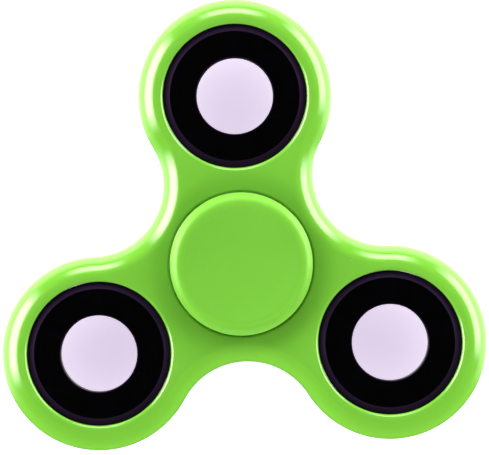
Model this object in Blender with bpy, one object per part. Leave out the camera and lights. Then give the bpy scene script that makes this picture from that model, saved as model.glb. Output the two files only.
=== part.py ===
"""Three-lobed fidget spinner.

A moulded body carries three ring weights in its lobes and a shielded ball bearing in its middle.
Two finger caps plug into each other through the bearing's bore and clamp its inner ring, so the
body, the weights and the outer ring spin while the caps are held.

The origin is the bearing's centre, +Z is the spin axis, and one lobe points along +Y.
All lengths are in metres.
"""

import math

import bmesh
import bpy
from mathutils import Vector

MM = 0.001

# Driving dimensions. The bearing and the ring weights share one standard size.
BEARING_BORE_RADIUS = 4.0 * MM
RING_RADIUS = 11.0 * MM
RING_WIDTH = 7.0 * MM
LOBE_COUNT = 3
LOBE_DISTANCE = 25.75 * MM
LOBE_RADIUS = 14.85 * MM
WAIST_DISTANCE = 14.95 * MM
BODY_THICKNESS = 7.3 * MM
CAP_RADIUS = 10.95 * MM
OVERALL_HEIGHT = 13.2 * MM

# Fits. Pressed pieces keep this gap, so that their solids stay apart.
FIT_GAP = 0.03 * MM

# Points closer than this are one point, and faces that meet at more than this angle look sharp.
WELD_DISTANCE = 0.001 * MM
SHARP_ANGLE = math.radians(35)

# Facets of a full turn, and of smaller shapes.
TURN_FACETS = 36
LOBE_FACETS = 24
VALLEY_FACETS = 10
EDGE_FACETS = 4
CAP_RIM_FACETS = 3
DISH_FACETS = 2
GROOVE_FACETS = 6
POCKET_FACETS = 8
RIVET_FACETS = 8
BALL_FACETS = (12, 6)

# Body: a well-rounded outer edge, and a small chamfer at each bore's mouth.
BODY_EDGE_RADIUS = 3.2 * MM
BORE_CHAMFER = 0.4 * MM
FIRST_LOBE_ANGLE = math.radians(90)
LOBE_STEP = 2 * math.pi / LOBE_COUNT

# Ring weights: a wide outer chamfer, and a small one at the hole.
WEIGHT_HOLE_RADIUS = 5.85 * MM
WEIGHT_CHAMFER_WIDTH = 1.05 * MM
WEIGHT_CHAMFER_DEPTH = 0.75 * MM
WEIGHT_HOLE_CHAMFER = 0.15 * MM

# Ball bearing: seven balls on a pitch circle, between two grooved rings.
BALL_COUNT = 7
BALL_RADIUS = 1.984 * MM
BALL_PITCH_RADIUS = 7.5 * MM
GROOVE_RADIUS = 2.06 * MM
OUTER_GROOVE_BOTTOM = 9.56 * MM
INNER_GROOVE_BOTTOM = 5.476 * MM
OUTER_SHOULDER_RADIUS = 8.95 * MM
INNER_SHOULDER_RADIUS = 6.05 * MM
RING_CHAMFER = 0.35 * MM

# Recess at each end of the outer ring: a mouth, and behind it a seat for the shield and its clip.
RECESS_MOUTH_RADIUS = 9.7 * MM
RECESS_SEAT_RADIUS = 9.95 * MM
RECESS_LIP = 0.2 * MM
RECESS_DEPTH = 0.75 * MM

# Shield: a pressed disc with a flat rim, a raised web and a turned-in inner edge.
SHIELD_THICKNESS = 0.25 * MM
SHIELD_RIM_RADIUS = 9.65 * MM
SHIELD_STEP_OUTER = 8.85 * MM
SHIELD_STEP_INNER = 8.55 * MM
SHIELD_STEP_HEIGHT = 0.15 * MM
SHIELD_HOLE_RADIUS = 6.3 * MM

# Clip: a split ring that snaps in over the shield's rim.
CLIP_INNER_RADIUS = 9.4 * MM
CLIP_OUTER_RADIUS = 9.88 * MM
CLIP_THICKNESS = 0.22 * MM
CLIP_OPENING_FACETS = 2

# Cage: two pressed ribbons that meet between the balls, where the rivets hold them together.
CAGE_INNER_RADIUS = 6.55 * MM
CAGE_OUTER_RADIUS = 8.45 * MM
CAGE_THICKNESS = 0.4 * MM
CAGE_HALF_GAP = 0.02 * MM
CAGE_POCKET_RADIUS = 2.12 * MM
RIVET_SHANK_RADIUS = 0.3 * MM
RIVET_HOLE_RADIUS = 0.36 * MM
RIVET_HEAD_RADIUS = 0.6 * MM
RIVET_HEAD_HEIGHT = 0.22 * MM
RIVET_HEAD_DOME = ((0.6, 0.85), (1.0, 0.3))  # shares of the head's radius and height
RIVET_CUTTER_DEPTH = 1.6 * MM

# Finger caps: a rounded rim, a flat land and a shallow dish for the fingertip.
CAP_EDGE_RADIUS = 1.5 * MM
CAP_LAND_WIDTH = 0.65 * MM
CAP_DISH_DEPTH = 0.35 * MM
CAP_CLEARANCE = 0.6 * MM
CAP_FOOT_CHAMFER = 0.25 * MM
CAP_BOSS_RADIUS = 5.5 * MM
CAP_SLEEVE_RADIUS = 3.96 * MM
CAP_SOCKET_RADIUS = 2.65 * MM
CAP_PIN_RADIUS = 2.6 * MM
CAP_STEM_CHAMFER = 0.3 * MM
CAP_STEM_REACH = 3.2 * MM
CAP_SOCKET_FLOOR = 3.5 * MM

# Colours are linear, as a shader takes them: (red, green, blue), roughness, metallic.
GREEN_PLASTIC = ((0.20, 0.58, 0.045), 0.22, 0.0)
BLACK_STEEL = ((0.010, 0.008, 0.012), 0.35, 0.6)
BEARING_STEEL = ((0.62, 0.61, 0.60), 0.18, 1.0)
SHEET_STEEL = ((0.50, 0.50, 0.50), 0.32, 1.0)
SPRING_STEEL = ((0.30, 0.30, 0.31), 0.30, 1.0)
RIVET_STEEL = ((0.55, 0.54, 0.52), 0.28, 1.0)


def clear_scene():
    """Removes the objects that a new file starts with."""
    for obj in list(bpy.data.objects):
        bpy.data.objects.remove(obj)


def material_of(name, finish):
    """A Principled material with this colour, roughness and metallic value."""
    colour, roughness, metallic = finish
    material = bpy.data.materials.new(name)
    material.use_nodes = True
    shader = material.node_tree.nodes["Principled BSDF"]
    shader.inputs["Base Color"].default_value = (*colour, 1.0)
    shader.inputs["Roughness"].default_value = roughness
    shader.inputs["Metallic"].default_value = metallic
    return material


def carrier(name, place=(0, 0, 0)):
    """An empty on a joint's axis, which the pieces of one moving body hang on."""
    empty = bpy.data.objects.new(name, None)
    empty.location = place
    bpy.context.scene.collection.objects.link(empty)
    return empty


def object_of(name, bm, finish, parent=None, place=(0, 0, 0)):
    """Makes the bmesh an object with outward faces, smooth where it is round."""
    bmesh.ops.recalc_face_normals(bm, faces=bm.faces)
    mesh = bpy.data.meshes.new(name)
    bm.to_mesh(mesh)
    bm.free()
    mesh.shade_smooth()
    mesh.set_sharp_from_angle(angle=SHARP_ANGLE)
    obj = bpy.data.objects.new(name, mesh)
    mesh.materials.append(material_of(name, finish))
    obj.parent = parent
    obj.location = place
    bpy.context.scene.collection.objects.link(obj)
    return obj


def polar(radius, angle, height=0.0):
    """The point at this radius and angle round +Z."""
    return Vector((radius * math.cos(angle), radius * math.sin(angle), height))


def arc(centre, radius, start, end, count):
    """count + 1 points of an arc in a plane, as (across, up) pairs."""
    angles = [start + (end - start) * i / count for i in range(count + 1)]
    return [(centre[0] + radius * math.cos(a), centre[1] + radius * math.sin(a)) for a in angles]


def turned(profile, steps=TURN_FACETS, sweep=2 * math.pi):
    """Spins a profile of (radius, height) points round +Z.

    A profile that starts and ends on the axis makes a solid piece. Any other one is closed first,
    and makes a ring, or a split ring with flat ends if the sweep is under a full turn.
    """
    bm = bmesh.new()
    verts = [bm.verts.new((radius, 0, height)) for radius, height in profile]
    for a, b in zip(verts, verts[1:]):
        bm.edges.new((a, b))
    on_axis = min(radius for radius, _ in profile) == 0
    if not on_axis:
        bm.edges.new((verts[-1], verts[0]))
    full = sweep == 2 * math.pi
    bmesh.ops.spin(
        bm,
        geom=bm.verts[:] + bm.edges[:],
        cent=(0, 0, 0),
        axis=(0, 0, 1),
        angle=sweep,
        steps=steps,
        use_merge=full,
    )
    if on_axis:
        bmesh.ops.remove_doubles(bm, verts=bm.verts, dist=WELD_DISTANCE)
    if not full:
        bmesh.ops.holes_fill(bm, edges=[e for e in bm.edges if e.is_boundary])
    return bm


def mirrored_down(profile):
    """The profile followed by its mirror image below the middle plane, in reverse."""
    return profile + [(radius, -height) for radius, height in reversed(profile) if height > 0]


# ---- body ---------------------------------------------------------------------------------------


def valley_radius():
    """Radius of the concave arc that touches two lobes and comes WAIST_DISTANCE from the axis."""
    reach = LOBE_DISTANCE * math.cos(LOBE_STEP / 2)
    over = LOBE_RADIUS**2 - LOBE_DISTANCE**2 - WAIST_DISTANCE**2 + 2 * reach * WAIST_DISTANCE
    return over / (2 * WAIST_DISTANCE - 2 * reach - 2 * LOBE_RADIUS)


def lobe_angle(number):
    """Direction of a lobe from the spin axis."""
    return FIRST_LOBE_ANGLE + number * LOBE_STEP


def lobe_centre(number):
    """Centre of a lobe's bore."""
    return polar(LOBE_DISTANCE, lobe_angle(number))


def body_outline(inset):
    """Points of the three-lobed outline, moved inwards by inset. It is all tangent arcs."""
    hollow = valley_radius()
    hollow_distance = WAIST_DISTANCE + hollow
    across = hollow_distance * math.sin(LOBE_STEP / 2)
    along = hollow_distance * math.cos(LOBE_STEP / 2) - LOBE_DISTANCE
    half_turn = math.atan2(across, along)
    points = []
    for number in range(LOBE_COUNT):
        axis = lobe_angle(number)
        centre = lobe_centre(number)
        points += arc(centre, LOBE_RADIUS - inset, axis - half_turn, axis + half_turn, LOBE_FACETS)
        # The concave arc starts where the lobe ends, so both of its end points are already there.
        centre = polar(hollow_distance, axis + LOBE_STEP / 2)
        start = axis + half_turn + math.pi
        end = axis + LOBE_STEP - half_turn + math.pi
        points += arc(centre, hollow + inset, start, end, VALLEY_FACETS)[1:-1]
    return points


def circle_outline(centre, radius):
    """Points of a circle, in step with a piece turned about that centre."""
    return arc(centre, radius, 0, 2 * math.pi, TURN_FACETS)[:-1]


def ring_of_verts(bm, points, height):
    """A closed loop of new vertices and edges at one height."""
    verts = [bm.verts.new((x, y, height)) for x, y in points]
    edges = [bm.edges.new((a, b)) for a, b in zip(verts, verts[1:] + verts[:1])]
    return verts, edges


def skin(bm, rings):
    """Walls of four-sided faces between each loop and the next."""
    for (lower, _), (upper, _) in zip(rings, rings[1:]):
        for i in range(len(lower)):
            bm.faces.new((lower[i - 1], lower[i], upper[i], upper[i - 1]))


def spinner_body():
    """Three-lobed plate with a well-rounded outer edge and four through bores."""
    bm = bmesh.new()
    half = BODY_THICKNESS / 2
    edge = arc((0, half - BODY_EDGE_RADIUS), BODY_EDGE_RADIUS, math.pi / 2, 0, EDGE_FACETS)
    edge = [(BODY_EDGE_RADIUS - across, up) for across, up in edge]
    outside = [ring_of_verts(bm, body_outline(inset), z) for inset, z in mirrored_down(edge)]
    skin(bm, outside)

    bore_radius = RING_RADIUS + FIT_GAP
    mouth = [(bore_radius + BORE_CHAMFER, half), (bore_radius, half - BORE_CHAMFER)]
    bores = []
    for centre in [Vector((0, 0, 0))] + [lobe_centre(n) for n in range(LOBE_COUNT)]:
        wall = [ring_of_verts(bm, circle_outline(centre, r), z) for r, z in mirrored_down(mouth)]
        skin(bm, wall)
        bores.append(wall)

    for end in (0, -1):
        edges = list(outside[end][1])
        for wall in bores:
            edges += wall[end][1]
        bmesh.ops.triangle_fill(bm, edges=edges, use_beauty=True)
    return bm


# ---- weights ------------------------------------------------------------------------------------


def ring_weight():
    """Flat steel ring with a wide chamfer round its outside."""
    top = RING_WIDTH / 2
    half = [
        (WEIGHT_HOLE_RADIUS, top - WEIGHT_HOLE_CHAMFER),
        (WEIGHT_HOLE_RADIUS + WEIGHT_HOLE_CHAMFER, top),
        (RING_RADIUS - WEIGHT_CHAMFER_WIDTH, top),
        (RING_RADIUS, top - WEIGHT_CHAMFER_DEPTH),
    ]
    return turned(mirrored_down(half))


# ---- bearing ------------------------------------------------------------------------------------


def groove(bottom, shoulder, side):
    """Raceway points from the upper shoulder down to the lower one. side is 1 outside the balls."""
    centre = bottom - side * GROOVE_RADIUS
    half_angle = math.acos((shoulder - centre) * side / GROOVE_RADIUS)
    if side > 0:
        return arc((centre, 0), GROOVE_RADIUS, half_angle, -half_angle, GROOVE_FACETS)
    start, end = math.pi - half_angle, math.pi + half_angle
    return arc((centre, 0), GROOVE_RADIUS, start, end, GROOVE_FACETS)


def bearing_outer_ring():
    """Outer ring with its raceway, and a recess at each end for a shield and its clip."""
    top = RING_WIDTH / 2
    upper = [
        (RING_RADIUS, top - RING_CHAMFER),
        (RING_RADIUS - RING_CHAMFER, top),
        (RECESS_MOUTH_RADIUS, top),
        (RECESS_MOUTH_RADIUS, top - RECESS_LIP),
        (RECESS_SEAT_RADIUS, top - RECESS_LIP),
        (RECESS_SEAT_RADIUS, top - RECESS_DEPTH),
        (OUTER_SHOULDER_RADIUS, top - RECESS_DEPTH),
    ]
    lower = [(radius, -height) for radius, height in reversed(upper)]
    return turned(upper + groove(OUTER_GROOVE_BOTTOM, OUTER_SHOULDER_RADIUS, 1) + lower)


def bearing_inner_ring():
    """Inner ring with its raceway on the outside."""
    top = RING_WIDTH / 2
    upper = [
        (BEARING_BORE_RADIUS, top - RING_CHAMFER),
        (BEARING_BORE_RADIUS + RING_CHAMFER, top),
        (INNER_SHOULDER_RADIUS - RING_CHAMFER, top),
        (INNER_SHOULDER_RADIUS, top - RING_CHAMFER),
    ]
    lower = [(radius, -height) for radius, height in reversed(upper)]
    return turned(upper + groove(INNER_GROOVE_BOTTOM, INNER_SHOULDER_RADIUS, -1) + lower)


def bearing_ball():
    """One ball, with its poles on its own spin axis."""
    bm = bmesh.new()
    meridians, bands = BALL_FACETS
    bmesh.ops.create_uvsphere(bm, u_segments=meridians, v_segments=bands, radius=BALL_RADIUS)
    return bm


def bearing_shield(side):
    """Pressed shield. side is 1 for the upper one."""
    seat = RING_WIDTH / 2 - RECESS_DEPTH + FIT_GAP
    web = seat + SHIELD_STEP_HEIGHT
    outline = [
        (SHIELD_RIM_RADIUS, seat),
        (SHIELD_RIM_RADIUS, seat + SHIELD_THICKNESS),
        (SHIELD_STEP_OUTER, seat + SHIELD_THICKNESS),
        (SHIELD_STEP_INNER, web + SHIELD_THICKNESS),
        (SHIELD_HOLE_RADIUS, web + SHIELD_THICKNESS),
        (SHIELD_HOLE_RADIUS, seat),
        (SHIELD_HOLE_RADIUS + SHIELD_THICKNESS, seat),
        (SHIELD_HOLE_RADIUS + SHIELD_THICKNESS, web),
        (SHIELD_STEP_INNER, web),
        (SHIELD_STEP_OUTER, seat),
    ]
    return turned([(radius, side * height) for radius, height in outline])


def shield_clip(side):
    """Split ring that holds a shield in its seat."""
    low = RING_WIDTH / 2 - RECESS_DEPTH + SHIELD_THICKNESS + 2 * FIT_GAP
    high = low + CLIP_THICKNESS
    outline = [
        (CLIP_INNER_RADIUS, side * low),
        (CLIP_OUTER_RADIUS, side * low),
        (CLIP_OUTER_RADIUS, side * high),
        (CLIP_INNER_RADIUS, side * high),
    ]
    steps = TURN_FACETS - CLIP_OPENING_FACETS
    return turned(outline, steps, sweep=2 * math.pi * steps / TURN_FACETS)


def ball_angle(number):
    """Direction of a ball from the spin axis."""
    return 2 * math.pi * number / BALL_COUNT


def rivet_angle(number):
    """Direction of a rivet, half way between two balls."""
    return ball_angle(number + 0.5)


def pocket_stations():
    """Cross-sections of the ribbon over one ball, each as a point near the ball and one outside.

    A point is (across, up): across runs along the tangent at the ball, and up is the distance from
    the middle plane.
    """
    outer_radius = CAGE_POCKET_RADIUS + CAGE_THICKNESS
    land_top = CAGE_HALF_GAP + CAGE_THICKNESS
    land_start = math.sqrt(outer_radius**2 - land_top**2)
    stations = []
    for i in range(POCKET_FACETS + 1):
        angle = math.pi - math.pi * i / POCKET_FACETS
        across, up = math.cos(angle), math.sin(angle)
        near = (CAGE_POCKET_RADIUS * across, max(CAGE_POCKET_RADIUS * up, CAGE_HALF_GAP))
        outside = (outer_radius * across, outer_radius * up)
        if outside[1] < land_top:
            outside = (math.copysign(land_start, across), land_top)
        stations.append((near, outside))
    return stations


def ribbon_corner(radius, angle, across, height):
    """The point that lies across from a ball's radial line, on a cylinder of this radius."""
    outward = polar(1, angle)
    along = polar(1, angle + math.pi / 2)
    return outward * math.sqrt(radius**2 - across**2) + along * across + Vector((0, 0, height))


def cage_ribbon(side):
    """One pressed half of the cage: a ribbon that arches over every ball, and lies flat between."""
    bm = bmesh.new()
    sections = []
    radii = (CAGE_INNER_RADIUS, CAGE_OUTER_RADIUS)
    for number in range(BALL_COUNT):
        angle = ball_angle(number)
        for near, outside in pocket_stations():
            corners = [ribbon_corner(r, angle, near[0], side * near[1]) for r in radii]
            corners += [ribbon_corner(r, angle, outside[0], side * outside[1]) for r in radii[::-1]]
            sections.append(corners)
        middle = rivet_angle(number)
        heights = (side * CAGE_HALF_GAP, side * (CAGE_HALF_GAP + CAGE_THICKNESS))
        corners = [polar(r, middle, heights[0]) for r in radii]
        corners += [polar(r, middle, heights[1]) for r in radii[::-1]]
        sections.append(corners)
    rings = [[bm.verts.new(corner) for corner in corners] for corners in sections]
    for section, following in zip(rings, rings[1:] + rings[:1]):
        for i in range(len(section)):
            bm.faces.new((section[i - 1], section[i], following[i], following[i - 1]))
    return bm


def rivet_hole_cutter():
    """Seven pins that cut the rivet holes. A helper, and not part of the object."""
    bm = bmesh.new()
    for number in range(BALL_COUNT):
        made = bmesh.ops.create_cone(
            bm,
            cap_ends=True,
            segments=RIVET_FACETS,
            radius1=RIVET_HOLE_RADIUS,
            radius2=RIVET_HOLE_RADIUS,
            depth=RIVET_CUTTER_DEPTH,
        )
        place = polar(BALL_PITCH_RADIUS, rivet_angle(number))
        bmesh.ops.translate(bm, verts=made["verts"], vec=place)
    cutter = object_of("rivet_hole_cutter", bm, SHEET_STEEL)
    cutter.hide_render = True
    cutter.display_type = "WIRE"
    return cutter


def cut_with(obj, cutter):
    """Cuts the cutter's shape out of the object."""
    boolean = obj.modifiers.new("rivet_holes", "BOOLEAN")
    boolean.operation = "DIFFERENCE"
    boolean.solver = "EXACT"
    boolean.object = cutter


def cage_rivet():
    """Rivet with a shank through both ribbons and a head on each side."""
    grip = CAGE_HALF_GAP + CAGE_THICKNESS + FIT_GAP
    half = [(0, grip + RIVET_HEAD_HEIGHT)]
    half += [(RIVET_HEAD_RADIUS * out, grip + RIVET_HEAD_HEIGHT * up) for out, up in RIVET_HEAD_DOME]
    half += [(RIVET_HEAD_RADIUS, grip), (RIVET_SHANK_RADIUS, grip)]
    return turned(mirrored_down(half), RIVET_FACETS)


# ---- finger caps --------------------------------------------------------------------------------


def cap_face(side):
    """Cap profile from the middle of its dish, over the rim, to the foot of its boss."""
    top = OVERALL_HEIGHT / 2
    underside = BODY_THICKNESS / 2 + CAP_CLEARANCE
    land_outer = CAP_RADIUS - CAP_EDGE_RADIUS
    dish_radius = land_outer - CAP_LAND_WIDTH
    shares = [i / DISH_FACETS for i in range(DISH_FACETS + 1)]
    dish = [(dish_radius * share, top - CAP_DISH_DEPTH * (1 - share**2)) for share in shares]
    rim = arc((land_outer, top - CAP_EDGE_RADIUS), CAP_EDGE_RADIUS, math.pi / 2, 0, CAP_RIM_FACETS)
    foot = [
        (CAP_RADIUS, underside + CAP_FOOT_CHAMFER),
        (CAP_RADIUS - CAP_FOOT_CHAMFER, underside),
        (CAP_BOSS_RADIUS, underside),
        (CAP_BOSS_RADIUS, RING_WIDTH / 2 + FIT_GAP),
    ]
    return [(radius, side * height) for radius, height in dish + rim + foot]


def finger_cap_upper():
    """Upper cap. Its pin goes down into the lower cap's socket."""
    seat = RING_WIDTH / 2 + FIT_GAP
    pin = [
        (CAP_PIN_RADIUS, seat),
        (CAP_PIN_RADIUS, CAP_STEM_CHAMFER - CAP_STEM_REACH),
        (CAP_PIN_RADIUS - CAP_STEM_CHAMFER, -CAP_STEM_REACH),
        (0, -CAP_STEM_REACH),
    ]
    return turned(cap_face(1) + pin)


def finger_cap_lower():
    """Lower cap. Its sleeve fills the bearing's bore, and is the socket for the upper cap's pin."""
    seat = -RING_WIDTH / 2 - FIT_GAP
    sleeve = [
        (CAP_SLEEVE_RADIUS, seat),
        (CAP_SLEEVE_RADIUS, CAP_STEM_REACH - CAP_STEM_CHAMFER),
        (CAP_SLEEVE_RADIUS - CAP_STEM_CHAMFER, CAP_STEM_REACH),
        (CAP_SOCKET_RADIUS + CAP_STEM_CHAMFER, CAP_STEM_REACH),
        (CAP_SOCKET_RADIUS, CAP_STEM_REACH - CAP_STEM_CHAMFER),
        (CAP_SOCKET_RADIUS, -CAP_SOCKET_FLOOR),
        (0, -CAP_SOCKET_FLOOR),
    ]
    return turned(cap_face(-1) + sleeve)


# ---- assembly -----------------------------------------------------------------------------------


def build_hub():
    """What the fingers hold still: both caps and the bearing's inner ring."""
    hub = carrier("hub")
    object_of("finger_cap_upper", finger_cap_upper(), GREEN_PLASTIC, hub)
    object_of("finger_cap_lower", finger_cap_lower(), GREEN_PLASTIC, hub)
    object_of("bearing_inner_ring", bearing_inner_ring(), BEARING_STEEL, hub)


def build_rotor():
    """What spins: the body, its weights, and the bearing's outer ring with shields and clips."""
    rotor = carrier("rotor")
    object_of("spinner_body", spinner_body(), GREEN_PLASTIC, rotor)
    for number in range(LOBE_COUNT):
        name = f"ring_weight_{number + 1}"
        object_of(name, ring_weight(), BLACK_STEEL, rotor, lobe_centre(number))
    object_of("bearing_outer_ring", bearing_outer_ring(), BEARING_STEEL, rotor)
    for label, side in (("upper", 1), ("lower", -1)):
        object_of(f"bearing_shield_{label}", bearing_shield(side), SHEET_STEEL, rotor)
        object_of(f"shield_clip_{label}", shield_clip(side), SPRING_STEEL, rotor)


def build_cage():
    """The two ribbons and their rivets, which carry the balls round at part of the rotor's speed."""
    cage = carrier("cage")
    cutter = rivet_hole_cutter()
    for label, side in (("upper", 1), ("lower", -1)):
        ribbon = object_of(f"cage_ribbon_{label}", cage_ribbon(side), SHEET_STEEL, cage)
        cut_with(ribbon, cutter)
    for number in range(BALL_COUNT):
        place = polar(BALL_PITCH_RADIUS, rivet_angle(number))
        object_of(f"cage_rivet_{number + 1}", cage_rivet(), RIVET_STEEL, cage, place)
    return cage


def build_balls(cage):
    """Seven balls, each with its origin on its own axis."""
    for number in range(BALL_COUNT):
        place = polar(BALL_PITCH_RADIUS, ball_angle(number))
        object_of(f"bearing_ball_{number + 1}", bearing_ball(), BEARING_STEEL, cage, place)


clear_scene()
build_hub()
build_rotor()
build_balls(build_cage())
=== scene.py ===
"""Looks of the three-lobed fidget spinner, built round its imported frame.

Every piece of the frame is replaced by a finely rounded one in the same place, with a finish of its
own. The frame lies flat: +Z is the spin axis and one lobe points along +Y. Lengths are in metres.
"""

import logging
import math
from abc import ABC, abstractmethod
from dataclasses import dataclass
from enum import Enum
from typing import NamedTuple, Sequence

import bmesh
import bpy
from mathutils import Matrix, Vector


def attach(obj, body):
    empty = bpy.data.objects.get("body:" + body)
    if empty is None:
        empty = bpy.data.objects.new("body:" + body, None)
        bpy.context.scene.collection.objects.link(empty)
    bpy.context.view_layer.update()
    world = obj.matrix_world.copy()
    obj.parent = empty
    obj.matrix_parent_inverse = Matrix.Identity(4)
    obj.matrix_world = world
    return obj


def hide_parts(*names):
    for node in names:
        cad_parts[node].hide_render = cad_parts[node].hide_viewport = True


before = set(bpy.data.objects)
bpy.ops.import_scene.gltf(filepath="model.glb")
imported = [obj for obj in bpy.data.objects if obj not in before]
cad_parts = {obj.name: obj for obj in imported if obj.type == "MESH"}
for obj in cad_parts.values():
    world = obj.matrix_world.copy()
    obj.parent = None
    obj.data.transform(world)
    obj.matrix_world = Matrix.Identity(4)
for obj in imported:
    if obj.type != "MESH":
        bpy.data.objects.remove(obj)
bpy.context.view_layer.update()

LOG = logging.getLogger("spinner")
MM = 0.001
EDGE_ATTRIBUTE = "edge"
FULL_TURN = 2 * math.pi
ORIGIN = Vector((0, 0, 0))
Colour = tuple[float, float, float]
Span = tuple[float, float]
Socket = bpy.types.NodeSocket
Sockets = bpy.types.bpy_prop_collection


class Side(Enum):
    """Which end of the spin axis a piece is at."""

    UPPER = 1
    LOWER = -1

    @property
    def word(self) -> str:
        """The side's name, as the nodes of the frame spell it."""
        return self.name.lower()


class Lay(Enum):
    """Which way the marks of machining run on a steel piece."""

    TURNED = "turned"
    ROLLED = "rolled"
    TUMBLED = "tumbled"


# ---- sections and meshes ------------------------------------------------------------------------


class SectionPoint(NamedTuple):
    """A point of a section, and how exposed to wear it is, from 0 to 1."""

    across: float
    up: float
    edge: float = 0.0


@dataclass(frozen=True)
class Corner:
    """A corner of a section, rounded where its fillet is more than 0.

    A worn corner is one that rubs against hands or tools. Broad roundings are not.
    """

    across: float
    up: float
    fillet: float = 0.0
    steps: int = 5
    worn: bool = True


HOLD = 0.01 * MM  # how far from a fillet a flat stretch is held flat
STRAIGHT = 1e-4  # a bend this small, in radians, is no corner
POLE = 1e-9  # a radius below this is on the axis


def signed_area(corners: Sequence[Corner]) -> float:
    """Area of the polygon through the corners, positive if they run anticlockwise."""
    pairs = zip(corners, [*corners[1:], corners[0]])
    return sum(a.across * b.up - b.across * a.up for a, b in pairs) / 2


def fillet_points(before: Corner, corner: Corner, after: Corner, turning: float) -> list[SectionPoint]:
    """The arc that rounds one corner.

    Args:
        before: The corner before it.
        corner: The corner to round.
        after: The corner after it.
        turning: 1 if the section runs anticlockwise, and -1 if clockwise.

    Returns:
        The arc's points, or the corner itself if it has no fillet.
    """
    here = Vector((corner.across, corner.up))
    back = (Vector((before.across, before.up)) - here).normalized()
    ahead = (Vector((after.across, after.up)) - here).normalized()
    half_angle = back.angle(ahead) / 2
    if corner.fillet == 0 or abs(half_angle - math.pi / 2) < STRAIGHT:
        return [SectionPoint(here.x, here.y)]
    centre = here + (back + ahead).normalized() * corner.fillet / math.sin(half_angle)
    first = here + back * corner.fillet / math.tan(half_angle) - centre
    bend = back.cross(ahead)
    sweep = math.copysign(math.pi - 2 * half_angle, -bend)
    convex = bend * turning < 0
    points = []
    for step in range(corner.steps + 1):
        share = step / corner.steps
        angle = math.atan2(first.y, first.x) + sweep * share
        exposed = 1 - abs(2 * share - 1) if convex and corner.worn else 0.0
        place = centre + Vector((math.cos(angle), math.sin(angle))) * corner.fillet
        points.append(SectionPoint(place.x, place.y, exposed))
    return points


def rounded(corners: Sequence[Corner], closed: bool = True) -> list[SectionPoint]:
    """A section with its corners rounded and its flat stretches held flat.

    Args:
        corners: The section's corners in order.
        closed: Whether the last corner joins the first. An open section keeps its ends.

    Returns:
        The section's points, in the same order.
    """
    turning = math.copysign(1, signed_area(corners))
    count = len(corners)
    arcs = []
    for i, corner in enumerate(corners):
        at_end = not closed and i in (0, count - 1)
        arcs.append(
            [SectionPoint(corner.across, corner.up)]
            if at_end
            else fillet_points(corners[i - 1], corner, corners[(i + 1) % count], turning)
        )
    points = []
    for arc, following in zip(arcs, [*arcs[1:], arcs[0]] if closed else [*arcs[1:], None]):
        points += arc
        if following is None:
            continue
        start, end = Vector(arc[-1][:2]), Vector(following[0][:2])
        if (end - start).length > 4 * HOLD:
            inward = (end - start).normalized() * HOLD
            points += [SectionPoint(*(start + inward)), SectionPoint(*(end - inward))]
    return points


def mirrored(corners: Sequence[Corner]) -> list[Corner]:
    """The corners of an upper half, followed by those of its mirror image below."""
    lower = [Corner(c.across, -c.up, c.fillet, c.steps, c.worn) for c in reversed(corners)]
    return [*corners, *(c for c in lower if c.up < 0)]


def facing(side: Side, section: Sequence[SectionPoint]) -> list[SectionPoint]:
    """A section drawn for the upper side, as it is on this side."""
    return [SectionPoint(p.across, side.value * p.up, p.edge) for p in section]


class MeshMaker:
    """A mesh under construction, whose vertices say how exposed to wear they are."""

    def __init__(self) -> None:
        """Starts an empty mesh."""
        self.bm = bmesh.new()
        self.edge = self.bm.verts.layers.float.new(EDGE_ATTRIBUTE)

    def vertex(self, place: Vector, exposed: float = 0.0) -> bmesh.types.BMVert:
        """Adds a vertex."""
        made = self.bm.verts.new(place)
        made[self.edge] = exposed
        return made

    def row(self, places: Sequence[Vector], exposed: float = 0.0) -> list[bmesh.types.BMVert]:
        """Adds a row of vertices."""
        return [self.vertex(place, exposed) for place in places]

    def skin(self, rows: Sequence[list[bmesh.types.BMVert]], closed: bool = True) -> None:
        """Joins rows of vertices with faces.

        Args:
            rows: The rows in order. A row of one vertex is a pole.
            closed: Whether each row's last vertex joins its first.
        """
        for lower, upper in zip(rows, rows[1:]):
            count = max(len(lower), len(upper))
            for i in range(0 if closed else 1, count):
                around = [lower[(i - 1) % len(lower)], lower[i % len(lower)]]
                around += [upper[i % len(upper)], upper[(i - 1) % len(upper)]]
                self.bm.faces.new(tuple(dict.fromkeys(around)))

    def fill(self, loops: Sequence[list[bmesh.types.BMVert]]) -> None:
        """Fills the flat area between loops of vertices. The first loop is the outside."""
        edges = []
        for loop in loops:
            for a, b in zip(loop, [*loop[1:], loop[0]]):
                edges.append(self.bm.edges.get((a, b)) or self.bm.edges.new((a, b)))
        bmesh.ops.triangle_fill(self.bm, edges=edges, use_beauty=True)

    def turn(
        self, section: Sequence[SectionPoint], steps: int, closed: bool = True, centre: Vector = ORIGIN
    ) -> list[list[bmesh.types.BMVert]]:
        """Spins a section round an upright axis.

        Args:
            section: Points of the section: across is the radius, and up is the height.
            steps: Facets of the full turn.
            closed: Whether the section's last point joins its first.
            centre: Where the axis is.

        Returns:
            A row of vertices for each point.
        """
        rows = []
        for point in section:
            turns = 1 if point.across < POLE else steps
            places = [centre + polar(point.across, FULL_TURN * i / turns, point.up) for i in range(turns)]
            rows.append(self.row(places, point.edge))
        self.skin([*rows, rows[0]] if closed else rows)
        return rows

    def finished(self, name: str, recalculate: bool = True) -> bpy.types.Object:
        """Turns the work into an object with smooth, outward faces.

        Args:
            name: The object's name.
            recalculate: Whether the faces still have to be turned outwards.

        Returns:
            The new object, which is linked to the scene.
        """
        if recalculate:
            bmesh.ops.recalc_face_normals(self.bm, faces=self.bm.faces)
        mesh = bpy.data.meshes.new(name)
        self.bm.to_mesh(mesh)
        self.bm.free()
        mesh.shade_smooth()
        return linked(name, mesh)


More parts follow.
